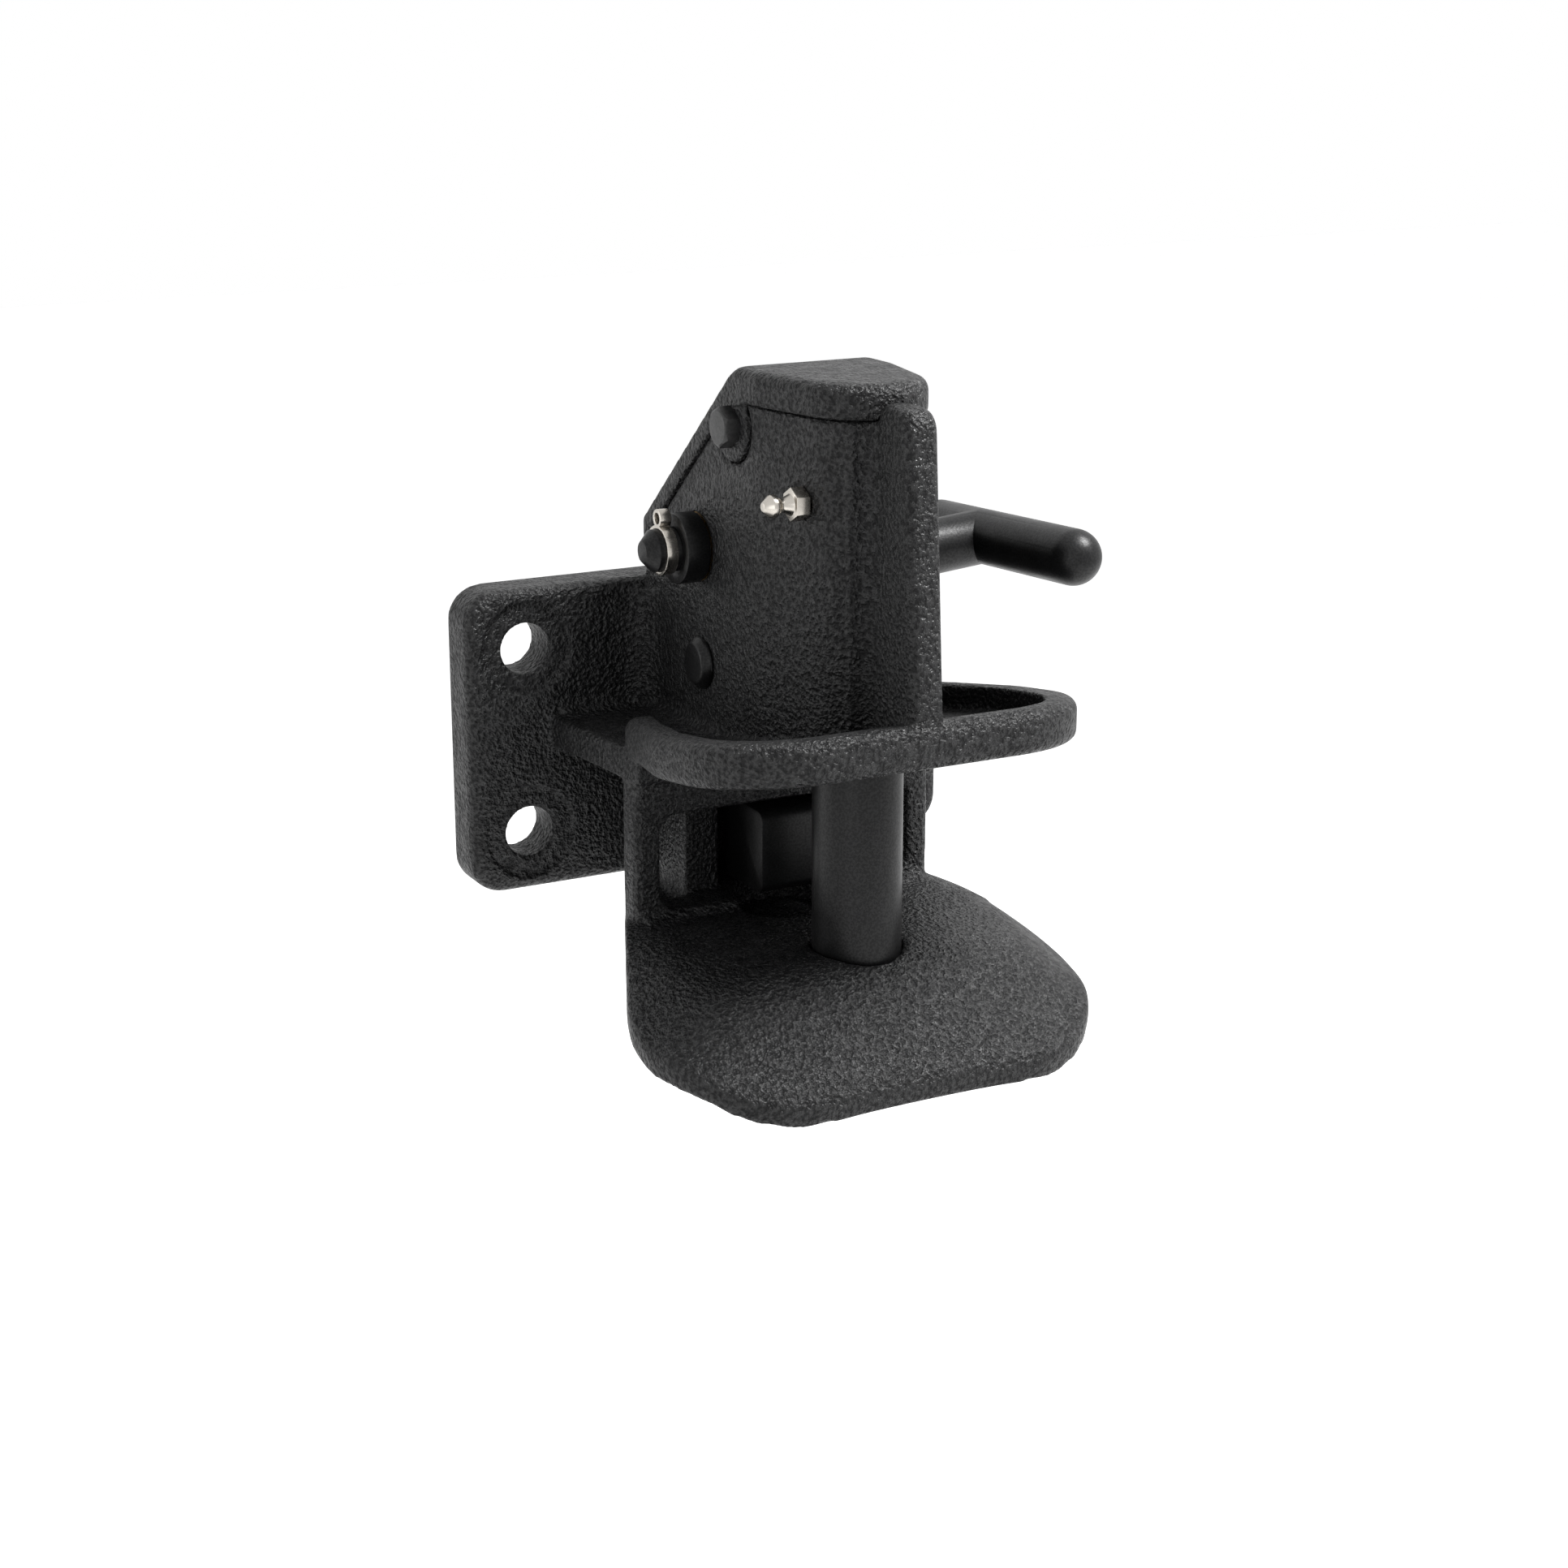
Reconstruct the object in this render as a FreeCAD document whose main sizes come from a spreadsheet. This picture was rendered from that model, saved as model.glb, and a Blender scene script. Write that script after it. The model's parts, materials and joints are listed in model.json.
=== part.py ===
import FreeCAD, Part
import Sketcher
import math
import os
import re

# Pin trailer coupling for a four-bolt flange.
# Frame: X to the right seen from the front, Y towards the vehicle, Z up, millimetres.
# Origin: centre of the bolt pattern, on the mounting face of the flange (y = 0).

doc = FreeCAD.newDocument("pin_trailer_coupling")
dims = doc.addObject("Spreadsheet::Sheet", "dims")

SIZES = {
    # Mounting flange
    "flange_width": 157,
    "flange_height": 90,
    "flange_thick": 15,
    "flange_corner": 10,
    "flange_edge": 3,
    "bolt_span_x": 120,
    "bolt_span_z": 55,
    "bolt_hole": 15,
    "spot_dia": 28,
    "spot_depth": 1,
    # Tower that guides the pin
    "pin_reach": 102.4,
    "tower_half": 21.2,
    "tower_back": 13,
    "tower_shoulder": 84,
    "nose_radius": 17,
    "tower_top": 103.8,
    "tower_wall": 5,
    "chamber_back": 20,
    "chamber_front": 86,
    "chamber_floor": 12,
    "arm_slot": 12,
    # Front rib
    "rib_thick": 10,
    "rib_foot": 141,
    "rib_head": 135,
    "rib_top": 108.6,
    "rib_round": 3,
    "rib_crown": 6,
    "rib_cove": 6,
    # Jaw wall and its window
    "wall_half": 48,
    "wall_front": 61,
    "wall_thick": 10,
    "wall_foot": 52,
    "core_half": 27,
    "core_low": 45,
    "sill_rib": 2.4,
    "sill_rib_reach": 32.2,
    "sill_rib_gap": 3.8,
    "sill_rib_proud": 1.3,
    "box_half": 40,
    "box_floor": 6,
    "root_cove": 10,
    "shelf_cove": 5,
    "jaw_cove": 5,
    "window_half": 40,
    "window_top": -13.5,
    "window_low": -41,
    "window_corner": 5,
    # Upper guide plate with a raised rim
    "tray_front": 142,
    "tray_half": 59,
    "tray_neck": 53,
    "tray_wide": 95,
    "tray_corner": 31,
    "shelf_low": -2.4,
    "shelf_top": 6.7,
    "tray_low_back": 3,
    "tray_low_front": 15.5,
    "rim_top_back": 15,
    "rim_top_front": 28,
    "rim_width": 9,
    "tray_floor": 7,
    "tray_edge": 3.5,
    # Lower guide plate
    "plate_front": 144,
    "plate_half": 68,
    "plate_neck": 52.5,
    "plate_wide": 97,
    "plate_corner": 38,
    "plate_top": -44,
    "plate_thick": 7.5,
    "crest_reach": 116,
    "lip_top": -68,
    "crest_half": 52,
    "ridge_round": 22,
    "side_top": -55,
    "boss_dia": 42,
    "boss_low": -70,
    "bush_top": -55,
    # Top cover
    "cover_top": 113.3,
    "cover_proud": 0.8,
    "cover_wall": 4.5,
    "strip_width": 5.5,
    "slant_low_reach": 15.3,
    "slant_low": 64.3,
    "slant_high_reach": 67.7,
    "slant_high": 109.8,
    "lug_reach": 69.9,
    "lug_drop": 14.9,
    "lug_radius": 9.8,
    "lug_thick": 3,
    "cover_edge": 3.5,
    # Cover bolts and grease nipple
    "screw_dia": 6,
    "screw_long": 8,
    "screw_flats": 10,
    "screw_head": 4,
    "screw_crown": 0.8,
    "nipple_height": 80.8,
    "nipple_flats": 8,
    "nipple_shank": 6,
    "nipple_hex": 4,
    "nipple_waist": 1.9,
    "nipple_ball": 3.1,
    "nipple_tip": 1.2,
    "nipple_long": 12.2,
    # Coupling pin and its lower bush
    "pin_dia": 25,
    "pin_top": 38,
    "pin_low": -68,
    "pin_chamfer": 2,
    "pin_play": 0.1,
    "pin_slot": 10,
    "slot_height": 14.4,
    "slot_mouth": 22,
    "bush_wall": 3,
    # Hand lever on its cross shaft
    "shaft_reach": 47,
    "shaft_height": 59.7,
    "shaft_dia": 16,
    "shaft_play": 0.05,
    "shaft_gap": 0.3,
    "tip_dia": 12,
    "tip_long": 16.5,
    "tip_chamfer": 3,
    "bar_dia": 16,
    "jog_start": 27,
    "jog_end": 43,
    "bar_reach": 57.4,
    "bar_height": 54,
    "bar_bend": 66.7,
    "bar_rise": 2.2,
    "grip_back": 34,
    "jog_radius": 10,
    "grip_end": 105,
    "grip_rise": 2.5,
    "shaft_bush_dia": 19.4,
    "bush_set_back": 0.6,
    "washer_dia": 20,
    "washer_thick": 7,
    # Lifting arm on the shaft
    "arm_length": 58,
    "arm_thick": 9,
    "arm_tip": 5,
    "hub_radius": 13,
    "hub_half": 7,
    "pin_lift": 70,
    "dowel_dia": 5,
    "part_gap": 0.3,
    # Release trigger on its pivot pin
    "pivot_reach": 50,
    "pivot_height": 26.8,
    "pivot_dia": 10,
    "pivot_head": 15,
    "pivot_proud": 3,
    "trigger_half": 10,
    "trigger_hub": 9,
    "trigger_thick": 9,
    "toe_reach": 65,
    "toe_top": -15.5,
    "toe_low": -40,
    "trigger_bush": 13,
    "toe_round": 3,
    "toe_pocket": 16,
    "pocket_low": -49,
    # Springs and clips
    "spring_radius": 9.4,
    "spring_wire": 2.4,
    "spring_turns": 2.25,
    "spring_leg": 16,
    "trigger_spring_radius": 6.1,
    "trigger_spring_wire": 1.6,
    "trigger_spring_leg": 12,
    "ring_thick": 1.2,
    "clip_width": 3.4,
    "clip_thick": 1,
    "clip_loop": 2.6,
    "clip_set": 1.5,
}
for row, (alias, value) in enumerate(SIZES.items(), start=1):
    dims.set("A%d" % row, alias.replace("_", " "))
    dims.set("B%d" % row, str(value))
    dims.setAlias("B%d" % row, alias)
doc.recompute()

TOP_PLANE = FreeCAD.Rotation()
FRONT_PLANE = FreeCAD.Rotation(FreeCAD.Vector(1, 0, 0), 90)
SIDE_PLANE = FreeCAD.Rotation(FreeCAD.Vector(1, 1, 1), 120)
ACROSS = FreeCAD.Rotation(FreeCAD.Vector(0, 1, 0), 90)
ALONG_Y = FreeCAD.Rotation(FreeCAD.Vector(1, 0, 0), 90)


def bound(text):
    """Turns size names in a formula into references to the sheet."""
    return re.sub(r"[a-z_]{3,}", lambda m: ("dims." if m.group() in SIZES else "") + m.group(), str(text))


def number(text):
    """The present value of a formula of sizes."""
    return float(dims.evalExpression(bound(text)))


def place(item, rotation, x="0", y="0", z="0"):
    item.Placement = FreeCAD.Placement(FreeCAD.Vector(number(x), number(y), number(z)), rotation)
    for axis, text in zip("xyz", (x, y, z)):
        item.setExpression("Placement.Base." + axis, bound(text))
    return item


def outline(name, plane, points, offset=("0", "0", "0")):
    """A closed sketch of straight edges whose corners are bound to formulas of sizes."""
    sketch = doc.addObject("Sketcher::SketchObject", name)
    place(sketch, plane, *offset)
    corners = [FreeCAD.Vector(number(u), number(v), 0) for u, v in points]
    count = len(corners)
    for i in range(count):
        sketch.addGeometry(Part.LineSegment(corners[i], corners[(i + 1) % count]), False)
    for i in range(count):
        sketch.addConstraint(Sketcher.Constraint("Coincident", i, 2, (i + 1) % count, 1))
    for i, (u, v) in enumerate(points):
        for kind, text, start in (("DistanceX", u, corners[i].x), ("DistanceY", v, corners[i].y)):
            index = sketch.addConstraint(Sketcher.Constraint(kind, -1, 1, i, 1, start))
            sketch.setExpression("Constraints[%d]" % index, bound(text))
    return sketch


def prism(name, plane, points, length, offset=("0", "0", "0"), symmetric=False):
    """A sketch pulled along its normal."""
    solid = doc.addObject("Part::Extrusion", name)
    solid.Base = outline(name + "_outline", plane, points, offset)
    solid.DirMode = "Normal"
    solid.Solid = True
    solid.Symmetric = symmetric
    solid.setExpression("LengthFwd", bound(length))
    return solid


def block(name, low, high):
    """A box between two corners given as formulas."""
    solid = doc.addObject("Part::Box", name)
    for side, a, b in zip(("Length", "Width", "Height"), low, high):
        solid.setExpression(side, bound("(%s) - (%s)" % (b, a)))
    return place(solid, TOP_PLANE, *low)


def rod(name, radius, length, rotation, x="0", y="0", z="0"):
    """A cylinder from a point along the turned Z axis."""
    solid = doc.addObject("Part::Cylinder", name)
    solid.setExpression("Radius", bound(radius))
    solid.setExpression("Height", bound(length))
    return place(solid, rotation, x, y, z)


def fuse(name, *pieces):
    joined = doc.addObject("Part::MultiFuse", name)
    joined.Shapes = list(pieces)
    joined.Refine = True
    return joined


def common(name, *pieces):
    joined = doc.addObject("Part::MultiCommon", name)
    joined.Shapes = list(pieces)
    joined.Refine = True
    return joined


def cut(name, base, *tools):
    result = doc.addObject("Part::Cut", name)
    result.Base = base
    result.Tool = tools[0] if len(tools) == 1 else fuse(name + "_tools", *tools)
    result.Refine = True
    return result


def rounded(name, base, radius, wanted):
    """Rounds each edge that the test picks, with a radius from the sheet."""
    doc.recompute()
    size = number(radius)
    picked = [i for i, edge in enumerate(base.Shape.Edges, start=1) if wanted(edge)]
    if not picked:
        raise ValueError("no edge to round on " + name)
    result = doc.addObject("Part::Fillet", name)
    result.Base = base
    result.Edges = [(i, size, size) for i in picked]
    return result


def runs_along(edge, axis):
    if edge.Curve.TypeId != "Part::GeomLine":
        return False
    a, b = edge.Vertexes[0].Point, edge.Vertexes[-1].Point
    step = b - a
    return abs(getattr(step, axis)) > 0.999 * step.Length


def lies_at(edge, axis, value):
    return all(abs(getattr(v.Point, axis) - value) < 0.01 for v in edge.Vertexes) and abs(
        getattr(edge.CenterOfMass, axis) - value) < 0.01


def middle(edge):
    return edge.valueAt((edge.FirstParameter + edge.LastParameter) / 2)


# Lengths and heights well outside the casting, for cutting tools
FAR = "200"
LEFT_END = "-100"
DEEP = "-120"
THROUGH = "60"
THROUGH_START = "-30"

# Mounting flange with rounded corners and a rounded front edge
flange_plate = prism("flange_plate", FRONT_PLANE, [
    ("-flange_width / 2", "-flange_height / 2"), ("flange_width / 2", "-flange_height / 2"),
    ("flange_width / 2", "flange_height / 2"), ("-flange_width / 2", "flange_height / 2")], "flange_thick")
flange_round = rounded("flange_round", flange_plate, "flange_corner", lambda e: runs_along(e, "y"))
flange = rounded("flange", flange_round, "flange_edge", lambda e: lies_at(e, "y", -number("flange_thick")))

# Tower: straight sides, a shoulder, and a round nose about the pin axis
nose_gap = "(pin_reach - tower_shoulder)"
nose_turn = "(atan2(%s; {half}) - acos({nose} / sqrt({half}^2 + %s^2)))" % (nose_gap, nose_gap)


def tower_outline(half, nose, back):
    turn = nose_turn.format(half=half, nose=nose)
    touch_x = "%s * cos(%s)" % (nose, turn)
    touch_y = "-pin_reach + %s * sin(%s)" % (nose, turn)
    return [("-" + half, "-" + back), ("-" + half, "-tower_shoulder"), ("-" + touch_x, touch_y),
            (touch_x, touch_y), (half, "-tower_shoulder"), (half, "-" + back)]


tower_sides = prism("tower_sides", TOP_PLANE, tower_outline("tower_half", "nose_radius", "tower_back"),
                    "tower_top - shelf_low", ("0", "0", "shelf_low"))
tower_nose = rod("tower_nose", "nose_radius", "tower_top - shelf_low", TOP_PLANE,
                 "0", "-pin_reach", "shelf_low")
slant_fall = "((slant_high - slant_low) / (slant_high_reach - slant_low_reach))"
strip_drop = "(strip_width * sqrt(1 + %s^2))" % slant_fall
lug_z = "(slant_low + %s * (lug_reach - slant_low_reach) - lug_drop)" % slant_fall


def above_slant(name, drop):
    """Everything behind and above the slanted back, lowered by a drop."""
    far_reach = "100"
    far_height = "slant_low + %s * (%s - slant_low_reach) - %s" % (slant_fall, far_reach, drop)
    near_height = "slant_low - %s * slant_low_reach - %s" % (slant_fall, drop)
    return prism(name, SIDE_PLANE, [("0", near_height), ("0", FAR), ("-" + far_reach, FAR),
                                    ("-" + far_reach, far_height)], FAR, symmetric=True)


under_tray = prism("under_tray", SIDE_PLANE, [
    ("-wall_front", "-60"), ("-wall_front", "tray_low_back + 1"),
    ("-tray_front", "tray_low_front + 1"), ("-tray_front", "-60")], FAR, symmetric=True)
tower = cut("tower", fuse("tower_block", tower_sides, tower_nose), above_slant("tower_slant", strip_drop),
            under_tray)

# Front rib that ties the tower to the rim of the upper guide plate
rib_plate = prism("rib_plate", SIDE_PLANE, [
    ("-pin_reach - nose_radius + 3", "rim_top_front - tray_floor"),
    ("-rib_foot", "rim_top_front - tray_floor"),
    ("-rib_head", "rib_top"), ("-pin_reach - nose_radius - cover_proud - part_gap", "rib_top"),
    ("-pin_reach - nose_radius - cover_proud - part_gap", "tower_top"),
    ("-pin_reach - nose_radius + 3", "tower_top")], "rib_thick", symmetric=True)
rib_crowned = rounded("rib_crowned", rib_plate, "rib_crown", lambda e: runs_along(e, "x")
                      and middle(e).y < -number("rib_head") + 0.5 and middle(e).z > number("rib_top") - 1)
rib = rounded("rib", rib_crowned, "rib_round", lambda e: middle(e).y < -number("rib_head - rib_crown / 2")
              and not runs_along(e, "x") and middle(e).z > number("rim_top_front - tray_floor") + 1)

# Jaw wall, and the core that joins it to the flange
jaw_wall = block("jaw_wall", ("-wall_half", "-wall_front", "-wall_foot"),
                 ("wall_half", "-wall_front + wall_thick", "tray_low_back + 2"))
wall_round = rounded("wall_round", jaw_wall, "rib_round", lambda e: runs_along(e, "z"))
core = block("core", ("-core_half", "-wall_front + 2", "-core_low"),
             ("core_half", "-flange_thick + 2", "shelf_top"))

box_floor = prism("box_floor_plate", TOP_PLANE, [
    ("-core_half", "-flange_thick + 2"), ("core_half", "-flange_thick + 2"), ("box_half", "-wall_front + 2"),
    ("-box_half", "-wall_front + 2")], "box_floor", ("0", "0", "-core_low - box_floor"))

sill_ribs = [rod("sill_rib_" + side, "sill_rib / 2", "window_low - plate_top", TOP_PLANE,
                 "-sill_rib_reach %s sill_rib_gap / 2" % sign,
                 "-wall_front - sill_rib_proud + sill_rib / 2", "plate_top")
             for side, sign in (("outer", "-"), ("inner", "+"))]


def cove(name, radius, low, high, rotation, length, centre):
    """A hollow fillet: a block with a round bar taken out of its outer corner."""
    return cut(name, block(name + "_block", low, high), rod(name + "_bar", radius, length, rotation, *centre))


coves = []
for side, sign in (("left", -1), ("right", 1)):
    inner = "%d * (tower_half - 1)" % sign
    outer = "%d * (tower_half + root_cove)" % sign
    west, east = (outer, inner) if sign < 0 else (inner, outer)
    coves.append(cove("root_cove_" + side, "root_cove", (west, "-flange_thick - root_cove", "shelf_low"),
                      (east, "-flange_thick + 1", "flange_height / 2 - flange_edge"), TOP_PLANE, FAR,
                      (outer, "-flange_thick - root_cove", "shelf_low - 1")))
    outer = "%d * (tower_half + shelf_cove)" % sign
    west, east = (outer, inner) if sign < 0 else (inner, outer)
    coves.append(cove("tower_cove_" + side, "shelf_cove", (west, "-wall_front", "shelf_top - 1"),
                      (east, "-flange_thick", "shelf_top + shelf_cove"), ALONG_Y, FAR,
                      (outer, "1", "shelf_top + shelf_cove")))
    coves.append(cove("upper_cove_" + side, "shelf_cove",
                      ("-tray_neck + 4" if sign < 0 else "0", "-flange_thick - shelf_cove", "shelf_top - 1"),
                      ("0" if sign < 0 else "tray_neck - 4", "-flange_thick + 1", "shelf_top + shelf_cove"),
                      ACROSS, FAR, (LEFT_END, "-flange_thick - shelf_cove", "shelf_top + shelf_cove")))
rib_bar_x = "(rib_thick / 2 + rib_cove)"
rib_bar_y = "(-pin_reach - sqrt((nose_radius + rib_cove)^2 - %s^2))" % rib_bar_x
for side, sign in (("left", -1), ("right", 1)):
    inner = "%d * (rib_thick / 2 - 1)" % sign
    outer = "%d * %s" % (sign, rib_bar_x)
    west, east = (outer, inner) if sign < 0 else (inner, outer)
    coves.append(cove("rib_cove_" + side, "rib_cove", (west, rib_bar_y, "tray_low_front"),
                      (east, "-pin_reach", "tower_top"), TOP_PLANE, FAR, (outer, rib_bar_y, "0")))
coves.append(cove("jaw_cove", "jaw_cove",
                  ("-wall_half + rib_round", "-wall_front - jaw_cove", "plate_top - 1"),
                  ("wall_half - rib_round", "-wall_front + 1", "plate_top + jaw_cove"), ACROSS, FAR,
                  (LEFT_END, "-wall_front - jaw_cove", "plate_top + jaw_cove")))

# Upper guide plate: a shelf from the flange, then a tilted tray with a raised rim
shelf = prism("shelf", TOP_PLANE, [
    ("-tray_neck", "-flange_thick + 2"), ("tray_neck", "-flange_thick + 2"), ("wall_half", "-wall_front - 3"),
    ("-wall_half", "-wall_front - 3")], "shelf_top - shelf_low", ("0", "0", "shelf_low"))
tray_plan = prism("tray_plan", TOP_PLANE, [
    ("-wall_half", "-wall_front + 6"), ("-tray_half", "-tray_wide"), ("-tray_half", "-tray_front"),
    ("tray_half", "-tray_front"), ("tray_half", "-tray_wide"), ("wall_half", "-wall_front + 6")], FAR,
    ("0", "0", "-50"))
tray_plan_round = rounded("tray_plan_round", tray_plan, "tray_corner",
                          lambda e: runs_along(e, "z") and middle(e).y < -number("tray_wide") + 1)
tray_side = prism("tray_side", SIDE_PLANE, [
    ("-wall_front + 6", "tray_low_back"), ("-tray_front", "tray_low_front"), ("-tray_front", "rim_top_front"),
    ("-wall_front + 6", "rim_top_back")], FAR, symmetric=True)
tray_block = common("tray_block", tray_plan_round, tray_side)
tray_soft = rounded("tray_soft", tray_block, "tray_edge",
                    lambda e: not runs_along(e, "z") and middle(e).y < -number("wall_front"))
recess_plan = prism("recess_plan", TOP_PLANE, [
    ("-wall_half + rim_width", "-wall_front + 7"), ("-tray_half + rim_width", "-tray_wide"),
    ("-tray_half + rim_width", "-tray_front + rim_width"),
    ("tray_half - rim_width", "-tray_front + rim_width"),
    ("tray_half - rim_width", "-tray_wide"), ("wall_half - rim_width", "-wall_front + 7")], FAR,
    ("0", "0", "-50"))
recess_plan_round = rounded("recess_plan_round", recess_plan, "tray_corner - rim_width",
                            lambda e: runs_along(e, "z") and middle(e).y < -number("tray_wide") + 1)
recess_side = prism("recess_side", SIDE_PLANE, [
    ("-wall_front + 7", "shelf_top"), ("-tray_front", "tray_low_front + tray_floor"), ("-tray_front", "90"),
    ("-wall_front + 7", "90")], FAR, symmetric=True)
tray = cut("tray", tray_soft, common("tray_recess", recess_plan_round, recess_side))


# Lower guide plate: a dome that falls to the front and, less, to the sides, of even thickness
ROOF_BACK = "-30"


def is_ridge(edge):
    """An edge between two upper faces of the dome, away from its outer cut."""
    point = middle(edge)
    inside = abs(point.x) < number("2 * plate_half - crest_half") - 1 and point.z > number(DEEP) + 1
    front = -number("2 * plate_front - crest_reach")
    return inside and front + 1 < point.y < number(ROOF_BACK) - 1 and not runs_along(edge, "z")


def roof(name, drop):
    fall = prism(name + "_fall", SIDE_PLANE, [
        (ROOF_BACK, DEEP), (ROOF_BACK, "plate_top - %s" % drop), ("-crest_reach", "plate_top - %s" % drop),
        ("-plate_front", "lip_top - %s" % drop),
        ("-2 * plate_front + crest_reach", "2 * lip_top - plate_top - %s" % drop),
        ("-2 * plate_front + crest_reach", DEEP)], FAR, symmetric=True)
    sides = prism(name + "_sides", FRONT_PLANE, [
        ("-2 * plate_half + crest_half", DEEP), ("2 * plate_half - crest_half", DEEP),
        ("2 * plate_half - crest_half", "2 * side_top - plate_top - %s" % drop),
        ("crest_half", "plate_top - %s" % drop), ("-crest_half", "plate_top - %s" % drop),
        ("-2 * plate_half + crest_half", "2 * side_top - plate_top - %s" % drop)], FAR)
    return rounded(name, common(name + "_planes", fall, sides), "ridge_round", is_ridge)


plate_plan = prism("plate_plan", TOP_PLANE, [
    ("-wall_half", "-wall_front + wall_thick - 2"), ("-plate_neck", "-wall_front - 2"),
    ("-plate_half", "-plate_wide"), ("-plate_half", "-plate_front"),
    ("plate_half", "-plate_front"), ("plate_half", "-plate_wide"),
    ("plate_neck", "-wall_front - 2"), ("wall_half", "-wall_front + wall_thick - 2")],
    FAR, ("0", "0", DEEP))
plate_plan_round = rounded("plate_plan_round", plate_plan, "plate_corner",
                           lambda e: runs_along(e, "z") and middle(e).y < -number("plate_wide") + 1)
plate_block = cut("plate_block", common("plate_roof", plate_plan_round, roof("roof_top", "0")),
                  roof("roof_low", "plate_thick"))
boss_rod = rod("boss_rod", "boss_dia / 2", "plate_top - boss_low", TOP_PLANE, "0", "-pin_reach", "boss_low")
boss = common("boss", boss_rod, roof("roof_boss", "plate_thick / 2"))

# Openings of the casting
chamber = block("chamber", ("-tower_half + tower_wall", "-chamber_front", "chamber_floor"),
                ("tower_half - tower_wall", "-chamber_back", "cover_top"))
lower_chamber = block("lower_chamber", ("-tower_half + tower_wall", "-wall_front - 1", "window_low"),
                      ("tower_half - tower_wall", "-chamber_back", "window_top"))
throat = block("throat", ("-tower_half + tower_wall", "-wall_front + wall_thick", "window_top - 1"),
               ("tower_half - tower_wall", "-chamber_back", "chamber_floor + 1"))
window_hole = block("window_hole", ("-window_half", "-wall_front - 1", "window_low"),
                    ("window_half", "-wall_front + wall_thick + 1", "window_top"))
window = rounded("window", window_hole, "window_corner", lambda e: runs_along(e, "y"))
toe_pocket = rod("toe_pocket_cut", "toe_pocket", "window_low - pocket_low + 1", TOP_PLANE,
                 "0", "-wall_front + 1", "pocket_low")
pin_bore = rod("pin_bore", "pin_dia / 2 + pin_play", FAR, TOP_PLANE, "0", "-pin_reach", "-90")
arm_slot = block("arm_way", ("-arm_slot / 2", "-pin_reach", "chamber_floor"),
                 ("arm_slot / 2", "-chamber_front + 1", "cover_top"))
bush_bore = rod("bush_bore", "pin_dia / 2 + pin_play + bush_wall", "bush_top - boss_low + 1", TOP_PLANE,
                "0", "-pin_reach", "boss_low - 1")
shaft_bore = rod("shaft_bore", "shaft_bush_dia / 2", THROUGH, ACROSS,
                 THROUGH_START, "-shaft_reach", "shaft_height")
pivot_bore = rod("pivot_bore", "pivot_dia / 2", THROUGH, ACROSS,
                 THROUGH_START, "-pivot_reach", "pivot_height")
screw_bore = rod("screw_bore", "screw_dia / 2 + pin_play", THROUGH, ACROSS,
                 THROUGH_START, "-lug_reach", lug_z)
nipple_bore = rod("nipple_bore", "nipple_shank / 2 + pin_play", "nose_radius - 8", ACROSS,
                  "-nose_radius - 2", "-pin_reach", "nipple_height")
nipple_spot = rod("nipple_spot", "nipple_flats / sqrt(3) + part_gap", "nipple_hex", ACROSS,
                  "-nose_radius - nipple_hex", "-pin_reach", "nipple_height")
lug_seats = [rod("lug_seat_" + side, "lug_radius + part_gap", "10", ACROSS, start, "-lug_reach", lug_z)
             for side, start in (("left", "-tower_half - 10 + lug_thick - cover_proud"),
                                 ("right", "tower_half - lug_thick + cover_proud"))]
bolt_holes = []
for side_x in (-1, 1):
    for side_z in (-1, 1):
        across = "%d * bolt_span_x / 2" % side_x
        height = "%d * bolt_span_z / 2" % side_z
        tag = "%s_%s" % ("left" if side_x < 0 else "right", "low" if side_z < 0 else "high")
        bolt_holes.append(rod("bolt_hole_" + tag, "bolt_hole / 2", "2 * flange_thick", ALONG_Y,
                              across, "5", height))
        bolt_holes.append(rod("spot_face_" + tag, "spot_dia / 2", "10", ALONG_Y, across,
                              "-flange_thick + spot_depth", height))

casting_block = fuse("casting_block", flange, tower, rib, wall_round, core, shelf, tray, plate_block, boss,
                     box_floor, *sill_ribs, *coves)
coupling_body = cut("coupling_body", casting_block, chamber, lower_chamber, throat, window, toe_pocket,
                    pin_bore, arm_slot, bush_bore, shaft_bore, pivot_bore, screw_bore, nipple_bore,
                    nipple_spot, *lug_seats, *bolt_holes)

# Top cover: flat top, slanted back strip and a lug for a screw on each side
cover_half = "(tower_half + cover_proud)"
cover_nose = "(nose_radius + cover_proud)"
cover_sides = prism("cover_sides", TOP_PLANE, tower_outline(cover_half, cover_nose, "tower_back"),
                    "cover_top - 50", ("0", "0", "50"))
cover_front = rod("cover_front", cover_nose, "cover_top - 50", TOP_PLANE, "0", "-pin_reach", "50")
cover_hull = fuse("cover_hull", cover_sides, cover_front)
cover_block = cut("cover_block", cover_hull, above_slant("cover_slant", "0"))
cover_soft = rounded("cover_soft", cover_block, "cover_edge", lambda e: lies_at(e, "z", number("cover_top"))
                     and not runs_along(e, "x"))
below_cover = prism("below_cover", SIDE_PLANE, [
    ("0", "0"), ("0", "slant_low - %s * slant_low_reach - %s" % (slant_fall, strip_drop)),
    ("-slant_low_reach - (tower_top - slant_low + %s) / %s" % (strip_drop, slant_fall), "tower_top"),
    ("-200", "tower_top"), ("-200", "0")], FAR, symmetric=True)
cover_shell = cut("cover_shell", cover_soft, below_cover)
lugs = []
for side, start in (("left", "-tower_half - cover_proud"), ("right", "tower_half + cover_proud - lug_thick")):
    lugs.append(rod("lug_" + side, "lug_radius", "lug_thick", ACROSS, start, "-lug_reach", lug_z))
lug_pair = cut("lug_pair", fuse("lug_discs", *lugs), above_slant("lug_slant", "0.5"))
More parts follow.
